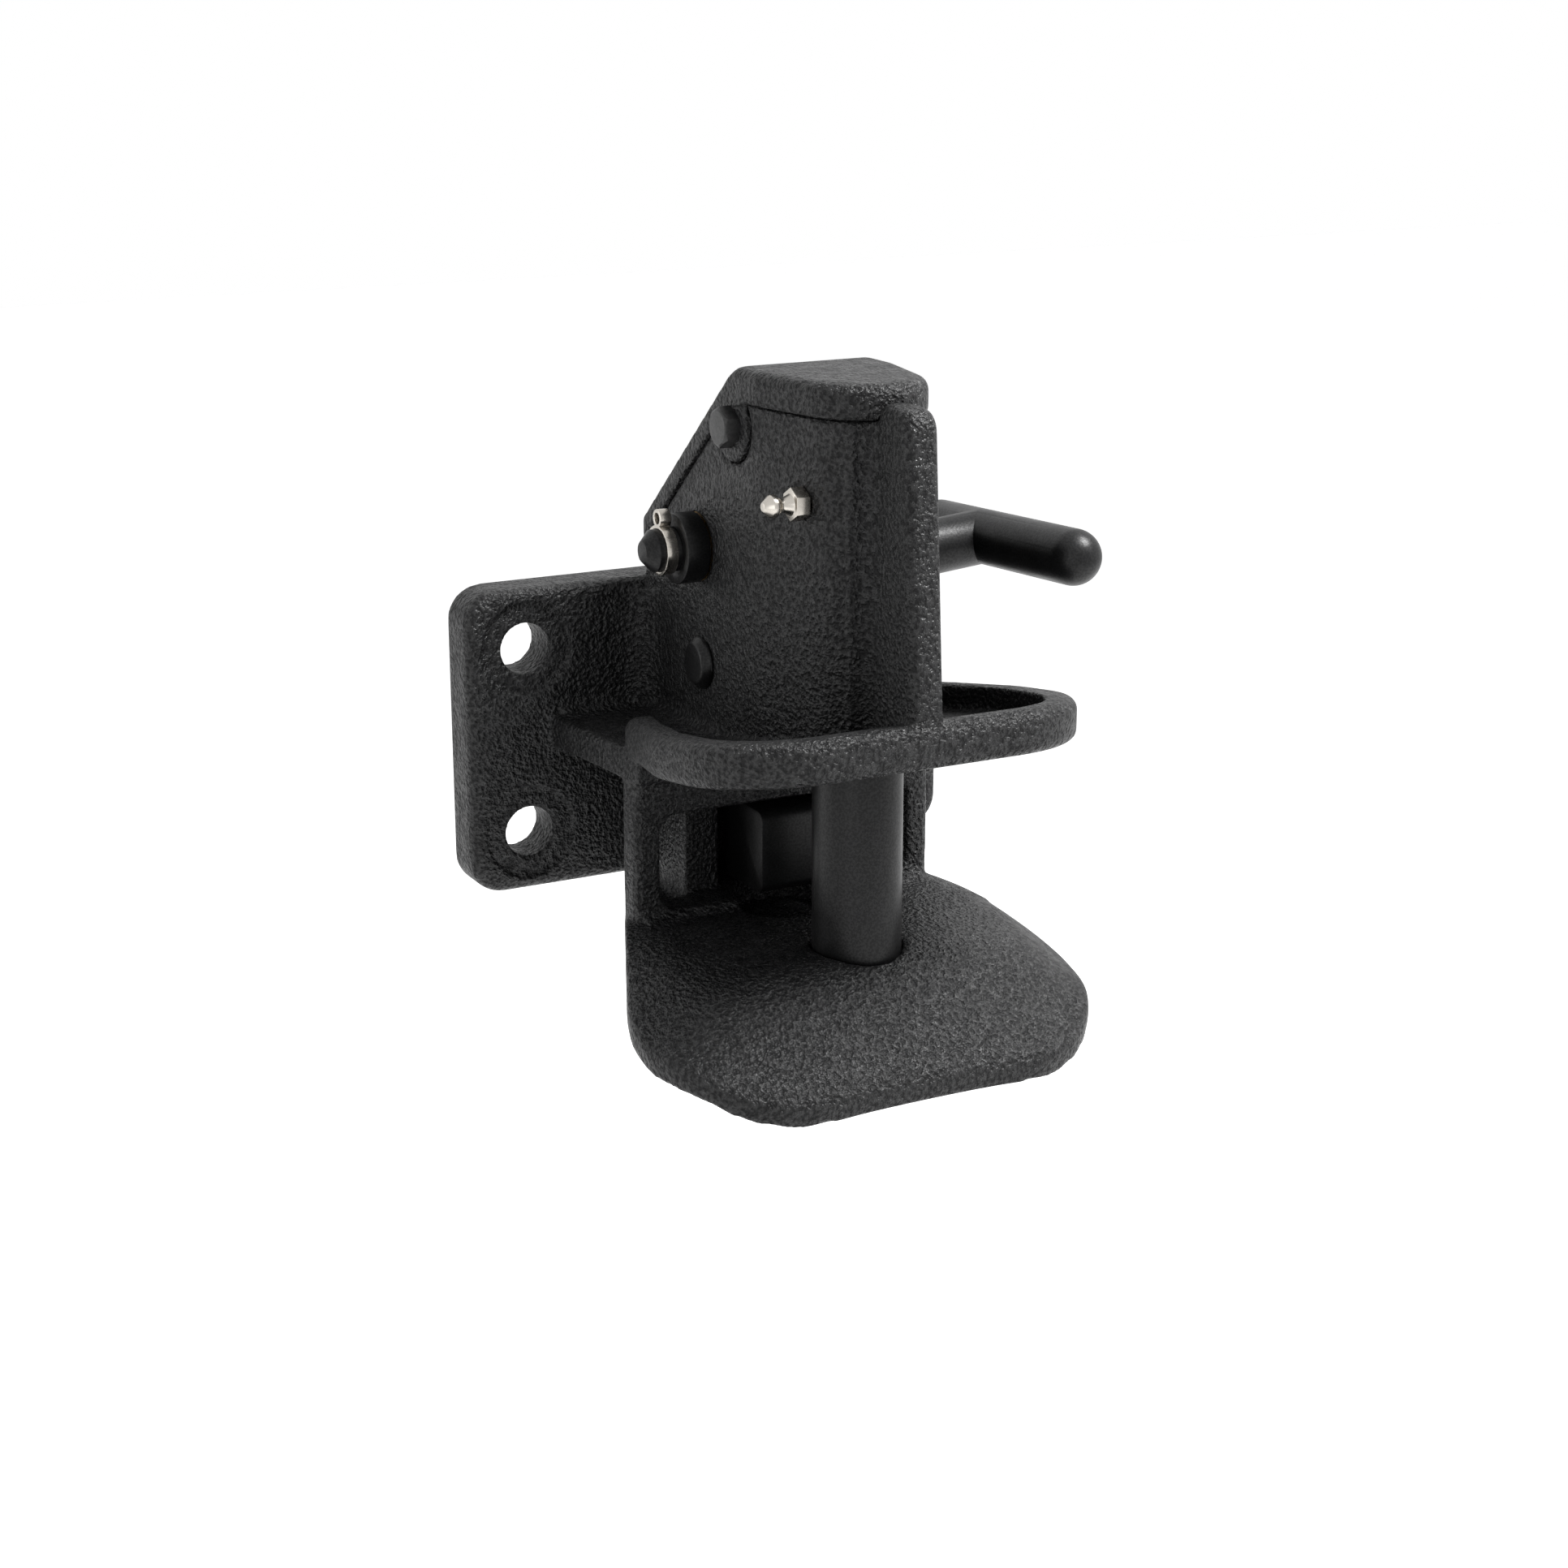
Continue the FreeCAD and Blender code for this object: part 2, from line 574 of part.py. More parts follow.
cover_room = block("cover_room", ("-tower_half + tower_wall", "-pin_reach", "tower_top - 1"),
                   ("tower_half - tower_wall", "-slant_high_reach - 8", "cover_top - cover_wall"))
cover_bore = rod("cover_bore", "pin_dia / 2 + pin_play", "cover_top - cover_wall - tower_top + 1", TOP_PLANE,
                 "0", "-pin_reach", "tower_top - 1")
cover_screw_hole = rod("cover_screw_hole", "screw_dia / 2 + pin_play", THROUGH, ACROSS,
                       THROUGH_START, "-lug_reach", lug_z)
top_cover = cut("top_cover", fuse("cover_with_lugs", cover_shell, lug_pair), cover_room, cover_bore,
                cover_screw_hole)


def turned(name, plane, points, axis, x="0", y="0", z="0"):
    """A closed sketch turned once about an axis through the given point."""
    solid = doc.addObject("Part::Revolution", name)
    solid.Source = outline(name + "_outline", plane, points, (x, y, z))
    solid.Axis = axis
    solid.Angle = 360
    solid.Solid = True
    for letter, text in zip("xyz", (x, y, z)):
        solid.setExpression("Base." + letter, bound(text))
    return solid


ALONG_X = FreeCAD.Vector(1, 0, 0)
UPRIGHT = FreeCAD.Vector(0, 0, 1)


# Screws that hold the cover, one on each side
def hexagon(name, flats, height, x, y, z):
    solid = doc.addObject("Part::Prism", name)
    solid.Polygon = 6
    solid.setExpression("Circumradius", bound("%s / sqrt(3)" % flats))
    solid.setExpression("Height", bound(height))
    return place(solid, ACROSS, x, y, z)


screws = []
for side, head_x, shank_x in (
        ("left", "-tower_half - cover_proud - screw_head", "-tower_half - cover_proud - 1"),
        ("right", "tower_half + cover_proud", "tower_half + cover_proud + 1 - screw_long")):
    blank = hexagon("screw_blank_" + side, "screw_flats", "screw_head", head_x, "-lug_reach", lug_z)
    face = "-" if side == "left" else ""
    crown = turned("screw_crown_" + side, TOP_PLANE, [
        ("0", "0"), ("0", "screw_flats"), (face + "(screw_head - screw_crown)", "screw_flats / sqrt(3)"),
        (face + "screw_head", "screw_flats / 2 - screw_crown / 2"), (face + "screw_head", "0")], ALONG_X,
        face + "(tower_half + cover_proud)", "-lug_reach", lug_z)
    head = common("screw_head_" + side, blank, crown)
    shank = rod("screw_shank_" + side, "screw_dia / 2", "screw_long", ACROSS, shank_x, "-lug_reach", lug_z)
    screws.append(fuse("screw_" + side, head, shank))
cover_screws = doc.addObject("Part::Compound", "cover_screws")
cover_screws.Links = screws


# Grease nipple in the side of the nose
nipple_hex = hexagon("nipple_hex_head", "nipple_flats", "nipple_hex", "-nose_radius - nipple_hex",
                     "-pin_reach", "nipple_height")
nipple_stem = turned("nipple_stem", TOP_PLANE, [
    ("4", "0"), ("4", "nipple_shank / 2"), ("-1", "nipple_shank / 2"),
    ("-nipple_hex", "nipple_shank / 2 - 0.1"),
    ("-nipple_hex - 2.4", "nipple_waist"), ("-nipple_hex - 3.2", "nipple_waist"),
    ("-nipple_hex - 4.6", "nipple_ball"), ("-nipple_hex - 6", "nipple_ball"),
    ("-nipple_long", "nipple_tip"), ("-nipple_long", "0")], ALONG_X, "-nose_radius", "-pin_reach",
    "nipple_height")
grease_nipple = fuse("grease_nipple", nipple_hex, nipple_stem)

# Coupling pin with a slot for the lifting arm
pin_turned = turned("pin_turned", FRONT_PLANE, [
    ("0", "pin_low"), ("pin_dia / 2 - pin_chamfer", "pin_low"), ("pin_dia / 2", "pin_low + pin_chamfer"),
    ("pin_dia / 2", "pin_top - 1"), ("pin_dia / 2 - 1", "pin_top"), ("0", "pin_top")], UPRIGHT,
    "0", "-pin_reach", "0")
slot_mid = "(shaft_height - pin_lift / 2)"
pin_slot = prism("pin_slot_cut", SIDE_PLANE, [
    ("-shaft_reach - arm_length - arm_tip - part_gap", slot_mid + " - slot_height / 2"),
    ("-pin_reach + pin_dia / 4", slot_mid + " - slot_height / 2"),
    ("-pin_reach + pin_dia / 2 + 1", slot_mid + " - slot_mouth / 2"),
    ("-pin_reach + pin_dia / 2 + 1", slot_mid + " + slot_mouth / 2"),
    ("-pin_reach + pin_dia / 4", slot_mid + " + slot_height / 2"),
    ("-shaft_reach - arm_length - arm_tip - part_gap", slot_mid + " + slot_height / 2")],
    "pin_slot", symmetric=True)
coupling_pin = cut("coupling_pin", pin_turned, pin_slot)


def sleeve(name, inner, outer, length, rotation, x, y, z):
    """A plain tube."""
    return cut(name, rod(name + "_outer", outer, length, rotation, x, y, z),
               rod(name + "_inner", inner, length, rotation, x, y, z))


lower_bush = sleeve("lower_bush", "pin_dia / 2 + pin_play", "pin_dia / 2 + pin_play + bush_wall",
                    "bush_top - boss_low", TOP_PLANE, "0", "-pin_reach", "boss_low")
shaft_bush_left = sleeve("shaft_bush_left", "shaft_dia / 2 + shaft_play", "shaft_bush_dia / 2",
                         "tower_wall - bush_set_back", ACROSS, "-tower_half + bush_set_back",
                         "-shaft_reach", "shaft_height")
shaft_bush_right = sleeve("shaft_bush_right", "shaft_dia / 2 + shaft_play", "shaft_bush_dia / 2",
                          "tower_wall - bush_set_back", ACROSS, "tower_half - tower_wall",
                          "-shaft_reach", "shaft_height")

# Lifting arm: hub on the shaft and a tip in the slot of the pin, at rest pointing down to the front
arm_drop = "(pin_lift / 2)"
arm_run = "sqrt(arm_length^2 - (pin_lift / 2)^2)"
tip_y = "(-shaft_reach - %s)" % arm_run
tip_z = "(shaft_height - pin_lift / 2)"
lean_y = "(-%s / arm_length)" % arm_drop
lean_z = "(%s / arm_length)" % arm_run
hub_side = "(hub_radius - 4)"
arm_web = prism("arm_web", SIDE_PLANE, [
    ("-shaft_reach + %s * %s" % (lean_y, hub_side), "shaft_height + %s * %s" % (lean_z, hub_side)),
    ("%s + %s * arm_tip" % (tip_y, lean_y), "%s + %s * arm_tip" % (tip_z, lean_z)),
    ("%s - %s * arm_tip" % (tip_y, lean_y), "%s - %s * arm_tip" % (tip_z, lean_z)),
    ("-shaft_reach - %s * %s" % (lean_y, hub_side), "shaft_height - %s * %s" % (lean_z, hub_side))],
    "arm_thick", symmetric=True)
arm_hub = rod("arm_hub", "hub_radius", "2 * hub_half", ACROSS, "-hub_half", "-shaft_reach", "shaft_height")
arm_end = rod("arm_end", "arm_tip", "arm_thick", ACROSS, "-arm_thick / 2", tip_y, tip_z)
arm_bore = rod("arm_bore", "shaft_dia / 2", "2 * hub_half", ACROSS, "-hub_half", "-shaft_reach",
               "shaft_height")
dowel_long = "(2 * hub_radius - 1)"
arm_dowel_bore = rod("arm_dowel_bore", "dowel_dia / 2", dowel_long + " + 10", TOP_PLANE, "0", "-shaft_reach",
                     "shaft_height - %s / 2 - 5" % dowel_long)
lift_arm = cut("lift_arm", fuse("arm_block", arm_web, arm_hub, arm_end), arm_bore, arm_dowel_bore)
arm_dowel = rod("arm_dowel", "dowel_dia / 2", dowel_long, TOP_PLANE, "0", "-shaft_reach",
                "shaft_height - %s / 2" % dowel_long)


# Hand lever: the cross shaft with its stepped left end, a jog, and the grip rod across its right end
def bent_path(corners, radii):
    """Straight runs joined by tangent arcs."""
    edges = []
    start = corners[0]
    for before, corner, after, radius in zip(corners, corners[1:], corners[2:], radii):
        to_start = (before - corner).normalize()
        to_end = (after - corner).normalize()
        half = to_start.getAngle(to_end) / 2
        reach = radius / math.tan(half)
        first = corner + to_start * reach
        last = corner + to_end * reach
        inward = (to_start + to_end).normalize()
        crown = corner + inward * (radius / math.sin(half) - radius)
        edges.append(Part.LineSegment(start, first).toShape())
        edges.append(Part.Arc(first, crown, last).toShape())
        start = last
    edges.append(Part.LineSegment(start, corners[-1]).toShape())
    return Part.Wire(edges)


shaft_axis_y = -number("shaft_reach")
shaft_axis_z = number("shaft_height")
lever_corners = [
    FreeCAD.Vector(-number("tower_half + shaft_gap"), shaft_axis_y, shaft_axis_z),
    FreeCAD.Vector(number("jog_start"), shaft_axis_y, shaft_axis_z),
    FreeCAD.Vector(number("jog_end"), -number("bar_reach"), number("bar_height")),
    FreeCAD.Vector(number("bar_bend"), -number("bar_reach"), number("bar_height + bar_rise"))]
lever_path = bent_path(lever_corners, [number("jog_radius"), number("jog_radius")])
bar_radius = number("bar_dia / 2")
bar_ring = Part.Wire([Part.Circle(lever_corners[0], ALONG_X, bar_radius).toShape()])
lever_bar = lever_path.makePipeShell([bar_ring], True, False)
grip_front = FreeCAD.Vector(number("bar_bend"), -number("grip_end"),
                            number("bar_height + bar_rise + grip_rise"))
grip_slope = (grip_front - lever_corners[-1]) / number("grip_end - bar_reach")
grip_back = lever_corners[-1] - grip_slope * number("bar_reach - grip_back")
grip_line = grip_front - grip_back
grip = Part.makeCylinder(bar_radius, grip_line.Length, grip_back, grip_line)
grip_ends = [Part.makeSphere(bar_radius, point) for point in (grip_back, grip_front)]
lever_raw = doc.addObject("Part::Feature", "lever_raw")
lever_raw.Shape = lever_bar.fuse([grip] + grip_ends).removeSplitter()
shaft_tip = turned("shaft_tip", TOP_PLANE, [
    ("0", "0"), ("0", "tip_dia / 2"), ("-tip_long + tip_chamfer", "tip_dia / 2"),
    ("-tip_long", "tip_dia / 2 - tip_chamfer"), ("-tip_long", "0")], ALONG_X,
    "-tower_half - shaft_gap", "-shaft_reach", "shaft_height")
hand_lever = cut("hand_lever", fuse("lever_block", lever_raw, shaft_tip), arm_dowel_bore)
shaft_washer = sleeve("shaft_washer", "tip_dia / 2 + shaft_play", "washer_dia / 2", "washer_thick", ACROSS,
                      "-tower_half - shaft_gap - washer_thick", "-shaft_reach", "shaft_height")

# Spring clip: a flat strip bent round the tip, with a small loop on top
clip_x = "(-tower_half - shaft_gap - washer_thick - clip_set - clip_width)"
clip_ring = sleeve("clip_ring", "tip_dia / 2 + shaft_play", "tip_dia / 2 + shaft_play + clip_thick",
                   "clip_width", ACROSS, clip_x, "-shaft_reach", "shaft_height")
loop_z = "shaft_height + tip_dia / 2 + clip_thick + clip_loop - 0.6"
clip_loop = sleeve("clip_loop_ring", "clip_loop - clip_thick", "clip_loop", "clip_width", ACROSS,
                   clip_x, "-shaft_reach", loop_z)
shaft_clip = fuse("shaft_clip", clip_ring, clip_loop)

# Release trigger on its pivot pin
pivot_pin_head = turned("pivot_pin_head", TOP_PLANE, [
    ("0", "0"), ("0", "pivot_head / 2"), ("-pivot_proud + 2", "pivot_head / 2"),
    ("-pivot_proud", "pivot_head / 2 - 2"), ("-pivot_proud", "0")], ALONG_X,
    "-tower_half", "-pivot_reach", "pivot_height")
pivot_pin_rod = rod("pivot_pin_rod", "pivot_dia / 2", "2 * tower_half + pivot_proud", ACROSS, "-tower_half",
                    "-pivot_reach", "pivot_height")
trigger_pin = fuse("trigger_pin", pivot_pin_head, pivot_pin_rod)
trigger_pin_ring = sleeve("trigger_pin_ring", "pivot_dia / 2", "pivot_head / 2 + 1", "ring_thick", ACROSS,
                          "tower_half + 0.2", "-pivot_reach", "pivot_height")
leg_front = "(-wall_front + wall_thick + 2)"
leg_back = "(%s + trigger_thick)" % leg_front
trigger_leg = prism("trigger_leg", SIDE_PLANE, [
    (leg_back, "pivot_height"), (leg_back, "toe_low + 6"), (leg_back + " - 4", "toe_low"),
    ("-toe_reach", "toe_low"), ("-toe_reach", "toe_top"), (leg_front, "toe_top"),
    (leg_front, "pivot_height")], "2 * trigger_half", symmetric=True)
trigger_hub = rod("trigger_hub", "trigger_hub", "2 * trigger_half", ACROSS, "-trigger_half", "-pivot_reach",
                  "pivot_height")
trigger_bore = rod("trigger_bore", "trigger_bush / 2", "2 * trigger_half", ACROSS,
                   "-trigger_half", "-pivot_reach", "pivot_height")
toe_soft = rounded("toe_soft", fuse("trigger_block", trigger_leg, trigger_hub), "toe_round",
                   lambda e: runs_along(e, "x") and middle(e).y < -number("toe_reach") + 0.1)
release_trigger = cut("release_trigger", toe_soft, trigger_bore)
trigger_bush = sleeve("trigger_bush_tube", "pivot_dia / 2 + shaft_play", "trigger_bush / 2",
                      "2 * trigger_half", ACROSS, "-trigger_half", "-pivot_reach", "pivot_height")


# Torsion springs round the shaft and the pivot pin: close coils and a straight, slightly thinner leg
COIL_PITCH = 1.15
LEG_SHARE = 0.9


def coil(name, radius, wire, turns, x, y, z, leg):
    pitch = COIL_PITCH * wire
    helix = Part.makeHelix(pitch, pitch * turns, radius)
    start = FreeCAD.Vector(radius, 0, 0)
    ring = Part.Wire([Part.Circle(start, FreeCAD.Vector(0, 1, 0), wire / 2).toShape()])
    turns_shape = Part.Wire(helix.Edges).makePipeShell([ring], True, True)
    tail = Part.makeCylinder(LEG_SHARE * wire / 2, leg, start, FreeCAD.Vector(0, -1, 0))
    spring = doc.addObject("Part::Feature", name)
    spring.Shape = turns_shape.fuse(tail).removeSplitter()
    return place(spring, ACROSS, x, y, z)


closing_spring = coil("closing_spring", number("spring_radius"), number("spring_wire"),
                      number("spring_turns"),
                      "hub_half + spring_wire / 2 + part_gap", "-shaft_reach", "shaft_height",
                      number("spring_leg"))
trigger_spring = coil("trigger_spring", number("trigger_spring_radius"), number("trigger_spring_wire"),
                      number("spring_turns"),
                      "trigger_half + trigger_spring_wire / 2 + part_gap", "-pivot_reach", "pivot_height",
                      number("trigger_spring_leg"))

NODES = {
    "coupling_body": coupling_body, "top_cover": top_cover, "cover_screws": cover_screws,
    "grease_nipple": grease_nipple, "coupling_pin": coupling_pin, "lower_bush": lower_bush,
    "shaft_bush_left": shaft_bush_left, "shaft_bush_right": shaft_bush_right, "hand_lever": hand_lever,
    "lift_arm": lift_arm, "arm_dowel": arm_dowel, "shaft_washer": shaft_washer, "shaft_clip": shaft_clip,
    "release_trigger": release_trigger, "trigger_bush": trigger_bush, "trigger_pin": trigger_pin,
    "trigger_pin_ring": trigger_pin_ring, "closing_spring": closing_spring, "trigger_spring": trigger_spring,
}
doc.recompute()
faults = [item.Name for item in doc.Objects if "Invalid" in item.State or "Error" in item.State]
if faults:
    raise RuntimeError("failed objects: " + ", ".join(faults))
for node, item in NODES.items():
    if item.Shape.isNull() or not item.Shape.isValid():
        raise RuntimeError("bad shape: " + node)
os.makedirs("parts", exist_ok=True)
for node, item in NODES.items():
    item.Label = node
    item.Shape.exportStep("parts/%s.step" % node)
    print(node, "solids", len(item.Shape.Solids), "volume", round(item.Shape.Volume))
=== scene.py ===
import bpy
import json
import math
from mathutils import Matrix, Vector


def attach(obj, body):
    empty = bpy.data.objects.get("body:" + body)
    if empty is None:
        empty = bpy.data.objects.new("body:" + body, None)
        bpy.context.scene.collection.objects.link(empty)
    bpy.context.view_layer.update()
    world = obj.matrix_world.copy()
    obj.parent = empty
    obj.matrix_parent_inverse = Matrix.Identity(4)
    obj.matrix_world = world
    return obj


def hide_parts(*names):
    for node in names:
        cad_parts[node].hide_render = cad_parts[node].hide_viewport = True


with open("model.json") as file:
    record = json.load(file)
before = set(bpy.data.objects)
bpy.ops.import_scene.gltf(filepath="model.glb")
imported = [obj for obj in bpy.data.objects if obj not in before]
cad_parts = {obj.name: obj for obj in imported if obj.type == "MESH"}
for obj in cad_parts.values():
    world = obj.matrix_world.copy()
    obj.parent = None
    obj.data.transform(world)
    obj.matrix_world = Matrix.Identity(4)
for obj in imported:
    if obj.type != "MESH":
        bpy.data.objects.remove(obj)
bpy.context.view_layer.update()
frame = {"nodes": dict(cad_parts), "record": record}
nodes = frame["nodes"]
print("frame loaded with", len(nodes), "nodes")


def selectOnly(piece):
    bpy.ops.object.select_all(action="DESELECT")
    piece.select_set(True)
    bpy.context.view_layer.objects.active = piece


def applyModifier(piece, kind, settings):
    selectOnly(piece)
    modifier = piece.modifiers.new(kind.lower(), kind)
    for key, value in settings.items():
        setattr(modifier, key, value)
    bpy.ops.object.modifier_apply(modifier=modifier.name)


mergeReach = 0.00001  # corners closer than this are one


def mergedCopy(name, node):
    piece = bpy.data.objects.new(name, nodes[node].data.copy())
    bpy.context.collection.objects.link(piece)
    selectOnly(piece)
    bpy.ops.object.mode_set(mode="EDIT")
    bpy.ops.mesh.select_all(action="SELECT")
    bpy.ops.mesh.remove_doubles(threshold=mergeReach)
    bpy.ops.object.mode_set(mode="OBJECT")
    return piece


# Finishes: one dictionary for each, grain scales in grains per metre and depths in metres; each finish's
# specular level drops in the grain's pits, a painted shade there
castPaint = {"colour": (0.010, 0.010, 0.0105, 1), "worn": (0.016, 0.016, 0.0165, 1),
             "specular": 0.27, "paintedPitShade": 0.45, "roughness": (0.36, 0.54), "grain": 820, "grainDetail": 2,
             "patch": 240, "patchShare": 0.3, "depth": 0.0020, "strength": 1.0}
satinPaint = {"colour": (0.008, 0.008, 0.0084, 1), "worn": (0.012, 0.012, 0.0125, 1),
              "specular": 0.22, "paintedPitShade": 0.2, "roughness": (0.34, 0.42), "grain": 1600, "grainDetail": 1,
              "patch": 160, "patchShare": 0.3, "depth": 0.00012, "strength": 0.3}
screwPaint = {"colour": (0.03, 0.03, 0.031, 1), "worn": (0.05, 0.05, 0.05, 1), "specular": 0.4, "paintedPitShade": 0.2,
              "roughness": (0.34, 0.48), "grain": 1400, "grainDetail": 2, "patch": 300, "patchShare": 0.4,
              "depth": 0.0001, "strength": 0.4}
platedMetal = {"colour": (0.6, 0.57, 0.52, 1), "worn": (0.45, 0.42, 0.38, 1), "metallic": 1, "specular": 0.5,
               "roughness": (0.2, 0.32), "grain": 1800, "grainDetail": 1, "patch": 400, "patchShare": 0.5,
               "paintedPitShade": 0.1, "depth": 0.00004, "strength": 0.3}
plainSteel = {"colour": (0.22, 0.22, 0.22, 1), "worn": (0.14, 0.13, 0.12, 1), "metallic": 1, "specular": 0.5,
              "roughness": (0.34, 0.5), "grain": 1500, "grainDetail": 2, "patch": 200, "patchShare": 0.5,
              "paintedPitShade": 0.1, "depth": 0.00008, "strength": 0.3}
bearingBronze = {"colour": (0.42, 0.28, 0.12, 1), "worn": (0.28, 0.18, 0.08, 1),
                 "metallic": 1, "specular": 0.5, "roughness": (0.36, 0.5), "grain": 1500, "grainDetail": 2,
                 "patch": 200, "patchShare": 0.5, "paintedPitShade": 0.1, "depth": 0.00008, "strength": 0.3}
noiseSpan = {"patch": (0.3, 0.7), "grain": (0.4, 0.6)}  # part of the noise that the finishes use


def makeFinish(name, look):
    material = bpy.data.materials.new(name)
    material.use_nodes = True
    tree = material.node_tree
    shader = tree.nodes["Principled BSDF"]
    shader.inputs["Metallic"].default_value = look.get("metallic", 0)
    place = tree.nodes.new("ShaderNodeTexCoord")
    grain = tree.nodes.new("ShaderNodeTexNoise")
    grain.inputs["Scale"].default_value = look["grain"]
    grain.inputs["Detail"].default_value = look["grainDetail"]
    patch = tree.nodes.new("ShaderNodeTexNoise")
    patch.inputs["Scale"].default_value = look["patch"]
    tint = tree.nodes.new("ShaderNodeMix")
    tint.data_type = "RGBA"
    tint.inputs["A"].default_value = look["colour"]
    tint.inputs["B"].default_value = look["worn"]
    gloss = tree.nodes.new("ShaderNodeMapRange")
    gloss.inputs["From Min"].default_value = noiseSpan["patch"][0]
    gloss.inputs["From Max"].default_value = noiseSpan["patch"][1]
    gloss.inputs["To Min"].default_value = look["roughness"][0]
    gloss.inputs["To Max"].default_value = look["roughness"][1]
    # Specular level follows the grain that also drives the bump, lower in its pits: painted shade in the pits
    shine = tree.nodes.new("ShaderNodeMapRange")
    shine.inputs["From Min"].default_value = noiseSpan["grain"][0]
    shine.inputs["From Max"].default_value = noiseSpan["grain"][1]
    shine.inputs["To Min"].default_value = look["specular"] * (1 - look["paintedPitShade"])
    shine.inputs["To Max"].default_value = look["specular"] * (1 + look["paintedPitShade"])
    relief = tree.nodes.new("ShaderNodeMix")
    relief.inputs["Factor"].default_value = look["patchShare"]
    bump = tree.nodes.new("ShaderNodeBump")
    bump.inputs["Strength"].default_value = look["strength"]
    bump.inputs["Distance"].default_value = look["depth"]
    tree.links.new(place.outputs["Object"], grain.inputs["Vector"])
    tree.links.new(place.outputs["Object"], patch.inputs["Vector"])
    tree.links.new(patch.outputs["Fac"], tint.inputs["Factor"])
    tree.links.new(tint.outputs["Result"], shader.inputs["Base Color"])
    tree.links.new(patch.outputs["Fac"], gloss.inputs["Value"])
    tree.links.new(gloss.outputs["Result"], shader.inputs["Roughness"])
    tree.links.new(grain.outputs["Fac"], shine.inputs["Value"])
    tree.links.new(shine.outputs["Result"], shader.inputs["Specular IOR Level"])
    tree.links.new(grain.outputs["Fac"], relief.inputs["A"])
    tree.links.new(patch.outputs["Fac"], relief.inputs["B"])
    tree.links.new(relief.outputs["Result"], bump.inputs["Height"])
    tree.links.new(bump.outputs["Normal"], shader.inputs["Normal"])
    return material


finishes = {
    "cast_black": makeFinish("castBlack", castPaint),
    "satin_black": makeFinish("satinBlack", satinPaint),
    "dark_screw": makeFinish("darkScrew", screwPaint),
    "bright_plated": makeFinish("brightPlated", platedMetal),
    "bare_steel": makeFinish("bareSteel", plainSteel),
    "bronze_bush": makeFinish("bronzeBush", bearingBronze)}


def dress(piece, slotName):
    if not piece.material_slots:
        piece.data.materials.append(finishes[slotName])
    for holder in piece.material_slots:
        holder.material = finishes[slotName]


for part in frame["record"]["subparts"]:
    dress(nodes[part["node"]], part["material_slot"])
print("finishes made and given to the nodes")


# Castings: soft edges and hollows, with the machined bores and faces kept crisp
castBody = {"node": "coupling_body", "voxel": 0.0006, "evenRounds": 3, "rounds": 18, "factor": 0.5,
            "faces": 95000, "lowerPlate": True}
castCover = {"node": "top_cover", "voxel": 0.0007, "evenRounds": 5, "rounds": 6, "factor": 0.5,
             "faces": 40000, "lowerPlate": False}
# The lower plate's front sinks a little and its corners more, and its edge is rounded off
lowerPlate = {"below": -0.042, "before": -0.078, "rounds": 60, "factor": 0.5, "cornerX": 0.062,
              "cornerY": -0.122, "reach": 0.026, "drop": 0.0075, "frontSink": 0.0014, "sinkFrom": -0.105,
              "sinkOver": 0.025}
# Bores by their axis: the four bolt holes with their seats, the shaft, the pivot, the screws and the pin
boltSeat = {"x": 0.060, "z": 0.0275, "radius": 0.0150}
machined = [
    {"axis": "x", "centre": (-0.047, 0.0597), "radius": 0.0112},
    {"axis": "x", "centre": (-0.050, 0.0268), "radius": 0.0065},
    {"axis": "x", "centre": (-0.0699, 0.0968), "radius": 0.0045},
    {"axis": "z", "centre": (0, -0.1024), "radius": 0.0140}]
for across in (-1, 1):
    for up in (-1, 1):
        seatCentre = (across * boltSeat["x"], up * boltSeat["z"])
        machined.append({"axis": "y", "centre": seatCentre, "radius": boltSeat["radius"]})


def isMachined(point):
    for bore in machined:
        if bore["axis"] == "x":
            pair = (point.y, point.z)
        elif bore["axis"] == "y":
            pair = (point.x, point.z)
        else:
            pair = (point.x, point.y)
        if (Vector(pair) - Vector(bore["centre"])).length < bore["radius"]:
            return True
    return False


def roundPlate(piece):
    rim = piece.vertex_groups.new(name="plate")
    for vertex in piece.data.vertices:
        spot = vertex.co
        if spot.z < lowerPlate["below"] and spot.y < lowerPlate["before"]:
            rim.add([vertex.index], 1, "REPLACE")
            away = math.hypot(abs(spot.x) - lowerPlate["cornerX"], spot.y - lowerPlate["cornerY"])
            ahead = min(1, max(0, (lowerPlate["sinkFrom"] - spot.y) / lowerPlate["sinkOver"]))
            spot.z -= lowerPlate["drop"] * math.exp(-(away / lowerPlate["reach"]) ** 2)
            spot.z -= lowerPlate["frontSink"] * ahead
    applyModifier(piece, "SMOOTH", {"factor": lowerPlate["factor"], "iterations": lowerPlate["rounds"],
                                    "vertex_group": "plate"})


def softenCasting(name, look, body, slotName):
    piece = mergedCopy(name, look["node"])
    applyModifier(piece, "REMESH", {"mode": "VOXEL", "voxel_size": look["voxel"], "adaptivity": 0})
    applyModifier(piece, "SMOOTH", {"factor": look["factor"], "iterations": look["evenRounds"]})
    rough = piece.vertex_groups.new(name="rough")
    rough.add([v.index for v in piece.data.vertices if not isMachined(v.co)], 1, "REPLACE")
    applyModifier(piece, "SMOOTH", {"factor": look["factor"], "iterations": look["rounds"],
                                    "vertex_group": "rough"})
    if look["lowerPlate"]:
        roundPlate(piece)
    share = min(1, 2 * look["faces"] / sum(len(p.vertices) - 2 for p in piece.data.polygons))
    applyModifier(piece, "DECIMATE", {"ratio": share})
    selectOnly(piece)
    bpy.ops.object.shade_smooth()
    dress(piece, slotName)
    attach(piece, body)
    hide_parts(look["node"])
    print(name, "has", len(piece.data.polygons), "faces")


softenCasting("castBodyShell", castBody, "housing", "cast_black")
softenCasting("castCoverShell", castCover, "housing", "cast_black")

